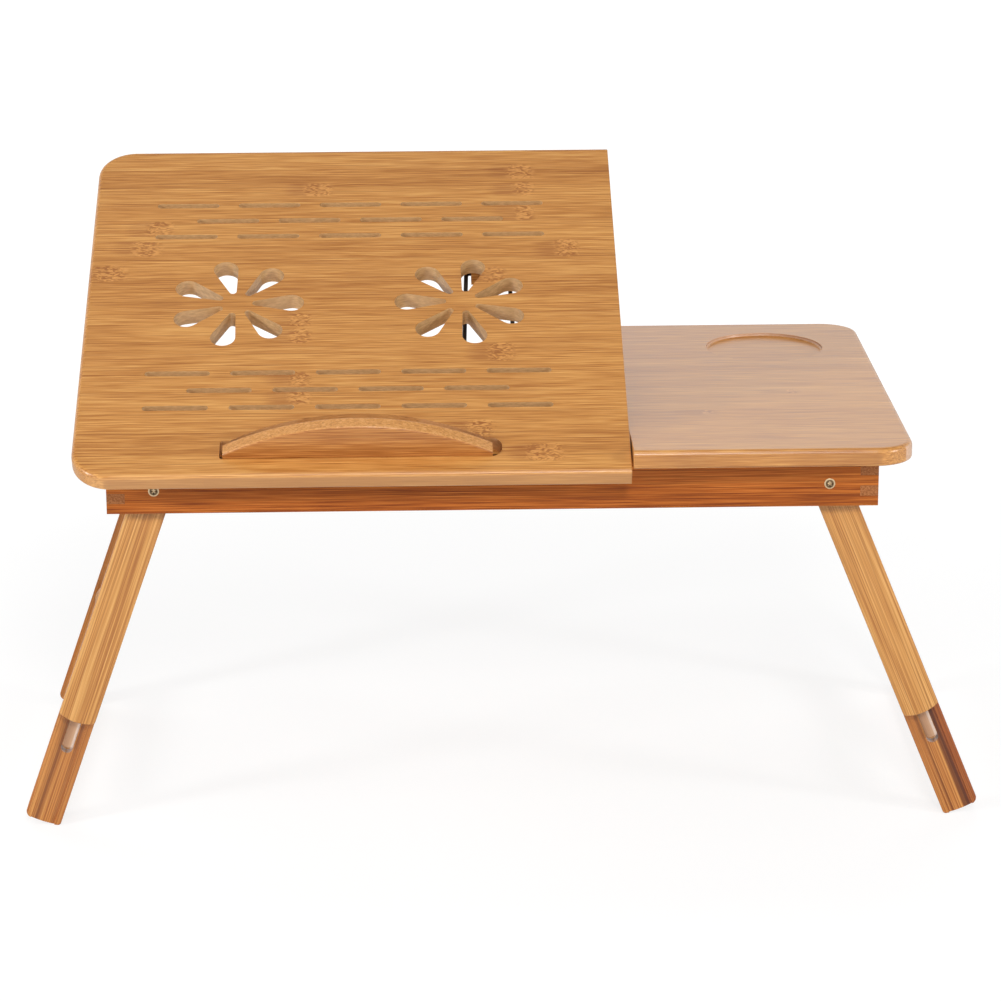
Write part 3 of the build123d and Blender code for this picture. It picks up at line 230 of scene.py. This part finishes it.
# Boards of the frame and the drawer: material, grain, direction across it, woods, seed and pieces
BOARDS = [
    ("bamboo_front_apron", RIGHT, UP, APRONS, 4.0, ["front_apron"]),
    ("bamboo_rear_apron", RIGHT, UP, APRONS, 6.0, ["rear_apron"]),
    ("bamboo_side_boards", BACK, UP, APRONS, 9.0, ["left_side_board", "right_side_board"]),
    ("bamboo_crossbars", BACK, UP, LEGS, 17.0, ["left_foot_crossbar", "right_foot_crossbar"]),
    ("bamboo_cross_boards", BACK, UP, GOLDS, 10.0, ["divider_board", "rack_rail", "support_rail"]),
    ("bamboo_rack", RIGHT, BACK, GOLDS, 11.0, ["prop_rack", "prop_block"]),
    ("bamboo_runners", RIGHT, UP, GOLDS, 12.0, ["drawer_runner_front", "drawer_runner_rear"]),
    ("bamboo_drawer_ends", BACK, UP, GOLDS, 14.0, ["drawer_front", "drawer_back"]),
    ("bamboo_drawer_sides", RIGHT, UP, GOLDS, 15.0, ["drawer_side_front", "drawer_side_rear"]),
]


class Graph:
    """Short calls for the nodes of a material or a world. Each input takes a number, a colour or a socket."""

    def __init__(self, owner):
        owner.use_nodes = True
        self.owner = owner
        self.nodes = owner.node_tree.nodes
        self.links = owner.node_tree.links

    def feed(self, socket, value):
        if isinstance(value, bpy.types.NodeSocket):
            self.links.new(value, socket)
        else:
            socket.default_value = value

    def read(self, kind, output):
        """An output of a new node that needs no input, such as a texture coordinate."""
        return self.nodes.new(kind).outputs[output]

    def math(self, operation, *values):
        node = self.nodes.new("ShaderNodeMath")
        node.operation = operation
        for place, value in enumerate(values):
            self.feed(node.inputs[place], value)
        return node.outputs[0]

    def sway(self, value, source, weight):
        """A value moved up and down by a source of 0 to 1, over a span of weight."""
        return self.math("MULTIPLY_ADD", self.math("SUBTRACT", source, 0.5), weight, value)

    def vector(self, operation, *values):
        node = self.nodes.new("ShaderNodeVectorMath")
        node.operation = operation
        for place, value in enumerate(values):
            self.feed(node.inputs[place], value)
        return node.outputs["Value" if operation == "LENGTH" else "Vector"]

    def separate(self, vector):
        node = self.nodes.new("ShaderNodeSeparateXYZ")
        self.links.new(vector, node.inputs[0])
        return node.outputs

    def noise(self, vector, scale, detail=2.0, roughness=0.5, distortion=0.0):
        """Noise with a scale of its own in each direction."""
        node = self.nodes.new("ShaderNodeTexNoise")
        node.inputs["Scale"].default_value = 1.0
        node.inputs["Detail"].default_value = detail
        node.inputs["Roughness"].default_value = roughness
        node.inputs["Distortion"].default_value = distortion
        self.links.new(self.vector("MULTIPLY", vector, scale), node.inputs["Vector"])
        return node.outputs["Fac"]

    def random(self, value):
        node = self.nodes.new("ShaderNodeTexWhiteNoise")
        node.noise_dimensions = "1D"
        self.feed(node.inputs["W"], value)
        return node.outputs["Value"]

    def map_range(self, value, low, high, first, second, kind="LINEAR"):
        """First at low, second at high and a blend between them."""
        node = self.nodes.new("ShaderNodeMapRange")
        node.interpolation_type = kind
        names = ("Value", "From Min", "From Max", "To Min", "To Max")
        for name, given in zip(names, (value, low, high, first, second)):
            self.feed(node.inputs[name], given)
        return node.outputs["Result"]

    def step(self, value, low, high):
        """0 below low, 1 above high and smooth between; falling where high is the lower one."""
        if low < high:
            return self.map_range(value, low, high, 0.0, 1.0, "SMOOTHSTEP")
        return self.map_range(value, high, low, 1.0, 0.0, "SMOOTHSTEP")

    def mix(self, factor, first, second, blend="MIX"):
        node = self.nodes.new("ShaderNodeMix")
        node.data_type = "RGBA"
        node.blend_type = blend
        self.feed(node.inputs["Factor"], factor)
        colour_inputs = [socket for socket in node.inputs if socket.type == "RGBA"]
        self.feed(colour_inputs[0], first)
        self.feed(colour_inputs[1], second)
        return next(socket for socket in node.outputs if socket.type == "RGBA")

    def ramp(self, factor, stops):
        node = self.nodes.new("ShaderNodeValToRGB")
        elements = node.color_ramp.elements
        while len(elements) < len(stops):
            elements.new(0.5)
        for element, (place, colour) in zip(elements, stops):
            element.position = place
            element.color = colour
        self.links.new(factor, node.inputs["Fac"])
        return node.outputs["Color"]

    def bump(self, height, depth, strength):
        node = self.nodes.new("ShaderNodeBump")
        node.inputs["Distance"].default_value = depth * MM
        node.inputs["Strength"].default_value = strength
        self.links.new(height, node.inputs["Height"])
        self.finish(Normal=node.outputs["Normal"])

    def finish(self, **values):
        """Feeds the shader's inputs, with _ for a space in a name, and returns the material."""
        for name, value in values.items():
            self.feed(self.nodes["Principled BSDF"].inputs[name.replace("_", " ")], value)
        return self.owner


def new_graph(name):
    """The nodes of a new material."""
    return Graph(bpy.data.materials.new(name))


def board_coordinates(graph, origin, along, across):
    """The point, in millimetres from origin, and the normal. Both have the board's own directions: along
    the grain, across it and through the board."""
    turn = Matrix((along, across, along.cross(across))).to_euler()
    point = graph.vector("SUBTRACT", graph.read("ShaderNodeTexCoord", "Object"), origin)
    results = []
    for vector, scale in ((point, 1 / MM), (graph.read("ShaderNodeTexCoord", "Normal"), 1.0)):
        mapping = graph.nodes.new("ShaderNodeMapping")
        mapping.inputs["Rotation"].default_value = turn
        mapping.inputs["Scale"].default_value = (scale, scale, scale)
        graph.links.new(vector, mapping.inputs["Vector"])
        results.append(mapping.outputs["Vector"])
    return results


def add_marks(graph, colour, coordinates, shifted, fibre, middle, marks):
    """Node marks: a crackled core with a ragged edge, and a dark smear in the fibres to the left of it."""
    light, dark = MARKS
    u, v, _ = graph.separate(coordinates)
    ragged = graph.noise(coordinates, RAGGED, detail=3.0)
    cores, smears = 0.0, 0.0
    for (at_u, at_v), (half_u, half_v) in marks:
        away_u = graph.math("SUBTRACT", u, at_u)
        away_v = graph.math("DIVIDE", graph.math("SUBTRACT", v, at_v), half_v)
        edge = graph.math("ADD", graph.math("POWER", graph.math("ABSOLUTE", away_v), 6.0), ragged)
        core = graph.math("POWER", graph.math("DIVIDE", away_u, half_u), 2.0)
        core = graph.step(graph.math("ADD", core, edge), 2.0, 0.6)
        smear = graph.math("DIVIDE", graph.math("ADD", away_u, SMEAR_SHIFT), SMEAR_HALF)
        smear = graph.math("ADD", graph.math("POWER", smear, 2.0), edge)
        cores = graph.math("MAXIMUM", cores, core)
        smears = graph.math("MAXIMUM", smears, graph.step(smear, 2.0, 0.5))
    depth = graph.math("MULTIPLY", smears, graph.step(fibre, 0.75, 0.35))
    colour = graph.mix(graph.math("MULTIPLY", depth, 0.55), colour, dark)
    crackle = graph.noise(shifted, CRACKLE, detail=1.0, distortion=1.6)
    crackle = graph.ramp(crackle, [(0.4, dark), (0.5, middle), (0.6, light)])
    return graph.mix(graph.math("MULTIPLY", cores, 0.62), colour, crackle)


def bamboo(
    name, origin, along, across, colours, strip, seed, marks=(), contrast=1.0, gloss=0.36, coat=0.2, run=1.0
):
    """Lacquered laminated bamboo: strips of their own tone, long fibres, streaks and node marks.

    A run above 1 makes the fibres that much longer. Returns the graph, its colour, coordinates and normal,
    so that a piece can add to them.
    """
    light, middle, dark = colours
    graph = new_graph(name)
    coordinates, normal = board_coordinates(graph, origin, along, across)
    shifted = graph.vector("MULTIPLY", coordinates, (1 / run, 1.0, 1.0))
    shifted = graph.vector("ADD", shifted, seed * SEED_SHIFT)
    wander = graph.noise(shifted, WANDER, detail=1.0)
    row = graph.sway(graph.separate(coordinates)[1], wander, strip * WANDER_SHARE)
    row = graph.math("DIVIDE", row, strip)
    tone = graph.random(graph.math("ADD", graph.math("FLOOR", row), seed))
    fibre = graph.noise(shifted, FIBRE, roughness=0.6)
    fine = graph.noise(shifted, FINE, detail=1.0)

    value = graph.sway(0.5, tone, STRIP_WEIGHT * contrast)
    value = graph.sway(value, graph.noise(shifted, BROAD), BROAD_WEIGHT * contrast)
    value = graph.sway(value, graph.noise(shifted, BAND), BAND_WEIGHT * contrast)
    value = graph.sway(value, fibre, FIBRE_WEIGHT * contrast)
    value = graph.sway(value, fine, FINE_WEIGHT * contrast)
    colour = graph.ramp(value, [(0.05, dark), (0.5, middle), (0.95, light)])

    streaks = graph.step(graph.noise(shifted, STREAKS, detail=1.0), 0.62, 0.76)
    colour = graph.mix(graph.math("MULTIPLY", streaks, 0.6 * contrast), colour, STREAK)
    seam = graph.step(graph.math("PINGPONG", row, 0.5), SEAM_HALF / strip, 0.0)
    seam = graph.math("MULTIPLY", seam, graph.math("MULTIPLY_ADD", tone, 0.6, 0.1))
    colour = graph.mix(seam, colour, STREAK)
    if marks:
        colour = add_marks(graph, colour, coordinates, shifted, fibre, middle, marks)

    height = graph.math("ADD", graph.math("MULTIPLY", fibre, 0.6), graph.math("MULTIPLY", fine, 0.4))
    graph.bump(height, WOOD_BUMP, 0.5)
    graph.finish(Roughness=graph.sway(gloss, fine, 0.25), Coat_Weight=coat, Coat_Roughness=0.22)
    return graph, colour, coordinates, normal


def end_grain(graph, colour, coordinates, normal, amount, shades=ENDS):
    """Speckled cut fibre ends on faces that lie across the grain."""
    light, dark = shades
    facing = graph.step(graph.math("ABSOLUTE", graph.separate(normal)[0]), 0.35, 0.95)
    pores = graph.noise(coordinates, PORES, roughness=0.7)
    ends = graph.ramp(pores, [(0.36, dark), (0.6, light)])
    return graph.mix(graph.math("MULTIPLY", facing, amount), colour, ends)


def wear(graph, colour, coordinates):
    """Faint handling marks and dulling over a whole board."""
    patches = graph.step(graph.noise(coordinates, WEAR, detail=3.0), 0.45, 0.8)
    return graph.mix(patches, colour, WEAR_TINT, blend="MULTIPLY")


def inner_walls(graph, colour, coordinates, normal, low, high, shades):
    """The walls of cut-outs between two corners of a panel, at least a rim inside them, in the colours given,
    which paint light on them: lifted shade on the raw walls of the vents and pocket, and the panel's sheen on
    the cup's wall.
    """
    light, dark = shades
    mask = graph.step(graph.math("ABSOLUTE", graph.separate(normal)[2]), 0.75, 0.45)
    for value, start, end in zip(graph.separate(coordinates), low, high):
        mask = graph.math("MULTIPLY", mask, graph.step(value, start + WALL_RIM, start + WALL_RIM + 1))
        mask = graph.math("MULTIPLY", mask, graph.step(value, end - WALL_RIM, end - WALL_RIM - 1))
    wall = graph.ramp(graph.noise(coordinates, DUST, detail=4.0), [(0.3, dark), (0.7, light)])
    return graph.mix(mask, colour, wall)


def tilting_panel_material():
    """Marked bamboo with raw vents and pocket whose walls carry painted light, and a paler front edge."""
    low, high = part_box("tilting_panel")
    length = (high[0] - low[0]) / MM
    front = HINGE - PANEL_BACK * HINGE_SETBACK * MM
    origin = Vector((high[0], front.y, front.z))
    looks = {"marks": TILTING_MARKS, "contrast": 0.9}
    graph, colour, place, normal = bamboo(
        "bamboo_tilting_panel", origin, RIGHT, PANEL_BACK, GOLDS, PANEL_STRIP, 3.0, **looks
    )
    colour = wear(graph, colour, place)
    vents = ((-length, POCKET_EDGE), (0, PANEL_DEPTH))
    pocket = ((-length, 0), (0, POCKET_EDGE + WALL_RIM))
    # Vent and pocket walls: raw wood with painted light lifting their shade
    colour = inner_walls(graph, colour, place, normal, *vents, VENT_WALLS_WITH_PAINTED_LIGHT)
    colour = inner_walls(graph, colour, place, normal, *pocket, POCKET_WALLS_WITH_PAINTED_LIGHT)
    # The forward-facing front edge, mixed a quarter of the way to a paler tone
    front_edge = graph.step(graph.separate(normal)[1], -0.7, -0.95)
    colour = graph.mix(graph.math("MULTIPLY", front_edge, 0.25), colour, EDGE_TONE)
    return graph.finish(Base_Color=end_grain(graph, colour, place, normal, 0.12))


def fixed_panel_material():
    """Glossier bamboo with the panel's pale sheen painted on the cup recess's wall and on the right face."""
    low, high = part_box("fixed_panel")
    past_right = (high[0] - low[0]) / MM + 2 * WALL_RIM
    looks = {"marks": FIXED_MARKS, "contrast": 0.9, "gloss": 0.4, "coat": 0.5}
    graph, colour, place, normal = bamboo(
        "bamboo_fixed_panel", Vector(low), RIGHT, BACK, GOLDS, PANEL_STRIP, 8.0, **looks
    )
    colour = wear(graph, colour, place)
    # Painted sheen on the cup recess's wall and the right face
    colour = inner_walls(graph, colour, place, normal, (0, 0), (past_right, PANEL_DEPTH), CUP_WALLS_PAINTED_SHEEN)
    return graph.finish(Base_Color=end_grain(graph, colour, place, normal, 0.07))


def ledge_material():
    """Bamboo with woven-looking cut sides."""
    light, dark = LEDGE_SIDES
    low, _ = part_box("laptop_ledge")
    graph, colour, place, normal = bamboo(
        "bamboo_ledge", Vector(low), RIGHT, PANEL_UP, LEDGES, LEDGE_STRIP, 5.0, contrast=1.1
    )
    side = graph.step(graph.math("ABSOLUTE", graph.separate(normal)[2]), 0.8, 0.5)
    weave = graph.noise(place, WEAVE, roughness=0.6, distortion=0.8)
    weave = graph.ramp(weave, [(0.3, dark), (0.5, LEDGES[0]), (0.68, light)])
    return graph.finish(Base_Color=graph.mix(side, colour, weave))


def board_material(name, node, along, across, colours, seed, strip=BOARD_STRIP):
    """A duller board of the frame or the drawer, with plain cut ends."""
    low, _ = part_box(node)
    looks = {"contrast": 1.1, "gloss": 0.5, "coat": 0.0, "run": 1.6}
    graph, colour, place, normal = bamboo(name, Vector(low), along, across, colours, strip, seed, **looks)
    colour = wear(graph, colour, place)
    colour = end_grain(graph, colour, place, normal, 0.9, FINGERS)
    return graph.finish(Base_Color=colour, Specular_IOR_Level=0.2)


def leg_directions(side):
    """A leg's pivot, its length and its width."""
    along = Vector(JOINTS[f"{side}_leg_extend"]["axis"])
    return Vector(JOINTS[f"{side}_leg_fold"]["pos_m"]), along, along.cross(BACK)


def width_share(graph, place, half):
    """Where a point lies over a width, from 0 at the left to 1 at the right."""
    return graph.math("MULTIPLY_ADD", graph.separate(place)[1], 0.5 / half, 0.5)


def leg_material(name, side, colours, seed, strips_and_shade=()):
    """Bamboo along a leg, with tints over its width: painted channel shade, and on the right leg a redder
    ridge strip.
    """
    graph, colour, place, normal = bamboo(name, *leg_directions(side), colours, LEG_STRIP, seed, run=3.0)
    colour = wear(graph, colour, place)
    # Painted channel shadow and corner shade, and the right leg's redder ridge strip
    if strips_and_shade:
        strip_and_shade_tint = graph.ramp(width_share(graph, place, LEG_HALF), strips_and_shade)
        colour = graph.mix(1.0, colour, strip_and_shade_tint, blend="MULTIPLY")
    return graph.finish(Base_Color=end_grain(graph, colour, place, normal, 0.4))


def key_material(side, seed):
    """A guide key with painted shade on its left and a painted near-white highlight on its right edge."""
    light, middle, _ = KEYS
    graph, colour, place, _ = bamboo(
        f"bamboo_{side}_keys", *leg_directions(side), KEYS, KEY_STRIP, seed, contrast=0.8
    )
    share = width_share(graph, place, KEY_HALF)
    # Painted shade on the left, painted highlight on the right edge
    painted_shade_and_highlight = graph.ramp(share, [(0.1, KEY_SHADE), (0.4, middle), (0.72, light), (0.86, KEY_PAINTED_HIGHLIGHT)])
    return graph.finish(Base_Color=graph.mix(0.7, colour, painted_shade_and_highlight))


def turned_material():
    """Turned light wood, with its grain along the knobs' axis."""
    graph, colour, _, _ = bamboo("turned_wood", Vector((0, 0, 0)), BACK, RIGHT, LEGS, TURNED_STRIP, 13.0)
    return graph.finish(Base_Color=colour)


def screw_material():
    """Brass-coloured pivot screws with painted shade on the sunk ring between the rim and the cross recess.
    """
    graph = new_graph("brass_plated_screws")
    place = graph.read("ShaderNodeTexCoord", "Object")
    x, _, z = graph.separate(place)
    radii = []
    for side in ("left", "right"):
        pivot = JOINTS[f"{side}_leg_fold"]["pos_m"]
        across = graph.math("POWER", graph.math("SUBTRACT", x, pivot[0]), 2.0)
        above = graph.math("POWER", graph.math("SUBTRACT", z, pivot[2]), 2.0)
        radii.append(graph.math("SQRT", graph.math("ADD", across, above)))
    radius = graph.math("MINIMUM", *radii)
    inside = graph.step(radius, RING_INNER * MM, (RING_INNER + RING_BLUR) * MM)
    outside = graph.step(radius, RING_OUTER * MM, (RING_OUTER - RING_BLUR) * MM)
    ring = graph.math("MULTIPLY", inside, outside)
    grain = graph.noise(place, BRUSHING, detail=3.0)
    # Painted shade on the sunk ring
    shade = graph.mix(graph.math("MULTIPLY", ring, 0.85), graph.mix(grain, BRASS, BRASS_LIGHT), BRASS_RING_PAINTED_SHADE)
    graph.bump(grain, METAL_BUMP, 0.3)
    return graph.finish(Base_Color=shade, Roughness=graph.sway(0.325, grain, 0.15), Metallic=0.85)


def steel_material(name, colour, roughness):
    """Plated steel with fine brushing and slight stains."""
    graph = new_graph(name)
    place = graph.read("ShaderNodeTexCoord", "Object")
    stains = graph.step(graph.noise(place, STAINS, detail=3.0), 0.35, 0.75)
    grain = graph.noise(place, BRUSHING, detail=4.0)
    stained = tuple(channel * 0.8 for channel in colour[:3]) + (1.0,)
    shade = graph.mix(stains, colour, stained)
    graph.bump(grain, METAL_BUMP, 0.3)
    return graph.finish(Base_Color=shade, Roughness=graph.sway(roughness, grain, 0.18), Metallic=1.0)


def wire_material():
    """Black coated wire."""
    graph = new_graph("black_coating")
    grain = graph.noise(graph.read("ShaderNodeTexCoord", "Object"), COATING_GRAIN, detail=3.0)
    shade = graph.ramp(grain, [(0.3, COATING_DARK), (0.75, COATING_LIGHT)])
    graph.bump(grain, COATING_BUMP, 0.3)
    return graph.finish(Base_Color=shade, Roughness=graph.sway(0.42, grain, 0.2))


def dress(material, *nodes):
    """Gives a material to CAD nodes."""
    for node in nodes:
        for slot in frame["nodes"][node].material_slots:
            slot.material = material


def floor_material():
    """A white floor that keeps soft shadows but shows the camera a white ground."""
    graph = new_graph("studio_floor")
    graph.finish(Base_Color=FLOOR_WHITE, Roughness=0.9, Specular_IOR_Level=0.0)
    glow = graph.nodes.new("ShaderNodeEmission")
    glow.inputs["Strength"].default_value = FLOOR_GLOW
    distance = graph.vector("LENGTH", graph.read("ShaderNodeTexCoord", "Object"))
    share = graph.map_range(distance, GLOW_NEAR, GLOW_FAR, GLOW_SHARE, 1.0, "SMOOTHSTEP")
    blend = graph.nodes.new("ShaderNodeMixShader")
    seen = graph.read("ShaderNodeLightPath", "Is Camera Ray")
    graph.feed(blend.inputs[0], graph.math("MULTIPLY", seen, share))
    graph.feed(blend.inputs[1], graph.nodes["Principled BSDF"].outputs[0])
    graph.feed(blend.inputs[2], glow.outputs[0])
    graph.feed(graph.nodes["Material Output"].inputs["Surface"], blend.outputs[0])
    return graph.owner


def add_floor():
    """A wide level floor under the feet."""
    mesh = bpy.data.meshes.new("studio_floor")
    corners = [(x * FLOOR_HALF, y * FLOOR_HALF, 0) for x, y in ((-1, -1), (1, -1), (1, 1), (-1, 1))]
    mesh.from_pydata(corners, [], [(0, 1, 2, 3)])
    floor = bpy.data.objects.new("studio_floor", mesh)
    mesh.materials.append(floor_material())
    bpy.context.scene.collection.objects.link(floor)


def add_world():
    """An even soft surround. The camera sees white, and reflections see a white wall that darkens upwards."""
    world = bpy.data.worlds.new("studio")
    bpy.context.scene.world = world
    graph = Graph(world)
    height = graph.separate(graph.read("ShaderNodeTexCoord", "Generated"))[2]
    wall = graph.map_range(height, WALL_END, CEILING_START, WALL_LEVEL, CEILING_LEVEL)
    glossy = graph.read("ShaderNodeLightPath", "Is Glossy Ray")
    level = graph.map_range(glossy, 0.0, 1.0, WORLD_LEVEL, wall)
    camera = graph.read("ShaderNodeLightPath", "Is Camera Ray")
    through = graph.read("ShaderNodeLightPath", "Is Transmission Ray")
    level = graph.map_range(graph.math("MAXIMUM", camera, through), 0.0, 1.0, level, 1.0)
    background = graph.nodes["Background"]
    graph.feed(background.inputs["Color"], (1, 1, 1, 1))
    graph.feed(background.inputs["Strength"], level)


def add_light(name, kind, at, **settings):
    """A light aimed at the object's middle."""
    light = bpy.data.lights.new(name, kind)
    for setting, value in settings.items():
        setattr(light, setting, value)
    lamp = bpy.data.objects.new(name, light)
    lamp.location = at
    lamp.rotation_euler = (OBJECT_MIDDLE - Vector(at)).to_track_quat("-Z", "Y").to_euler()
    bpy.context.scene.collection.objects.link(lamp)
    return lamp


def add_camera():
    """The photograph's camera, from its place and its turns."""
    sine, cosine = math.sin(CAMERA_YAW), math.cos(CAMERA_YAW)
    ahead = Vector((sine * math.cos(CAMERA_PITCH), cosine * math.cos(CAMERA_PITCH), -math.sin(CAMERA_PITCH)))
    right = Vector((cosine, -sine, 0))
    up = right.cross(ahead)
    rolled_right = right * math.cos(CAMERA_ROLL) + up * math.sin(CAMERA_ROLL)
    rolled_up = up * math.cos(CAMERA_ROLL) - right * math.sin(CAMERA_ROLL)
    camera = bpy.data.cameras.new("photograph")
    camera.sensor_width = SENSOR_MM
    camera.sensor_fit = "HORIZONTAL"
    camera.lens = LENS_MM
    view = bpy.data.objects.new("photograph", camera)
    view.rotation_euler = Matrix((rolled_right, rolled_up, -ahead)).transposed().to_euler()
    view.location = CAMERA_AT
    bpy.context.scene.collection.objects.link(view)
    bpy.context.scene.camera = view


for side, seed, strips_and_shade in (("left", 20.0, LEFT_CHANNEL_SHADE), ("right", 24.0, RIGHT_CHANNEL_SHADE_AND_RIDGE)):
    upper = leg_material(f"bamboo_{side}_upper_legs", side, LEGS, seed)
    dress(upper, f"{side}_front_upper_leg", f"{side}_rear_upper_leg")
    lower = leg_material(f"bamboo_{side}_lower_legs", side, LOWERS, seed + 1.0, strips_and_shade)
    dress(lower, f"{side}_front_lower_leg", f"{side}_rear_lower_leg")
    dress(key_material(side, seed + 2.0), f"{side}_guide_keys")
dress(tilting_panel_material(), "tilting_panel")
dress(fixed_panel_material(), "fixed_panel")
dress(ledge_material(), "laptop_ledge")
for name, along, across, colours, seed, nodes in BOARDS:
    dress(board_material(name, nodes[0], along, across, colours, seed), *nodes)
plywood = board_material("drawer_plywood", "drawer_bottom", RIGHT, BACK, PLIES, 16.0, PLY_STRIP)
dress(plywood, "drawer_bottom")
dress(turned_material(), "drawer_knob", *KNOBS)
dress(screw_material(), "pivot_screws", "pivot_nuts")
dress(steel_material("dark_steel_pins", DARK_STEEL, 0.5), "ledge_pins")
dress(steel_material("steel_hardware", STEEL, 0.35), *STEEL_PIECES)
dress(wire_material(), "prop_bail")

add_floor()
add_world()
# Suns have a strength and lamps have watts. The rear sun only lifts the back and leaves no highlight.
add_light("top_light", "SUN", (-0.2, -0.9, 2.7), angle=math.radians(50), energy=0.4)
rear_light = add_light("rear_light", "SUN", (-0.5, 1.6, 2.4), angle=math.radians(40), energy=0.8)
rear_light.visible_glossy = False
add_light("highlight_lamp", "AREA", (0.3, -1.3, 2.8), shape="DISK", size=0.5, energy=6.0)
add_light("left_lamp", "AREA", (-2.4, -1.5, 1.05), shape="DISK", size=0.6, energy=36.0)
add_light("right_lamp", "AREA", (2.5, -1.4, 1.05), shape="DISK", size=0.6, energy=28.0)
add_light("front_lamp", "AREA", (0.2, -2.6, 1.8), shape="DISK", size=0.5, energy=27.0)
add_camera()
bpy.context.scene.view_settings.view_transform = "Standard"
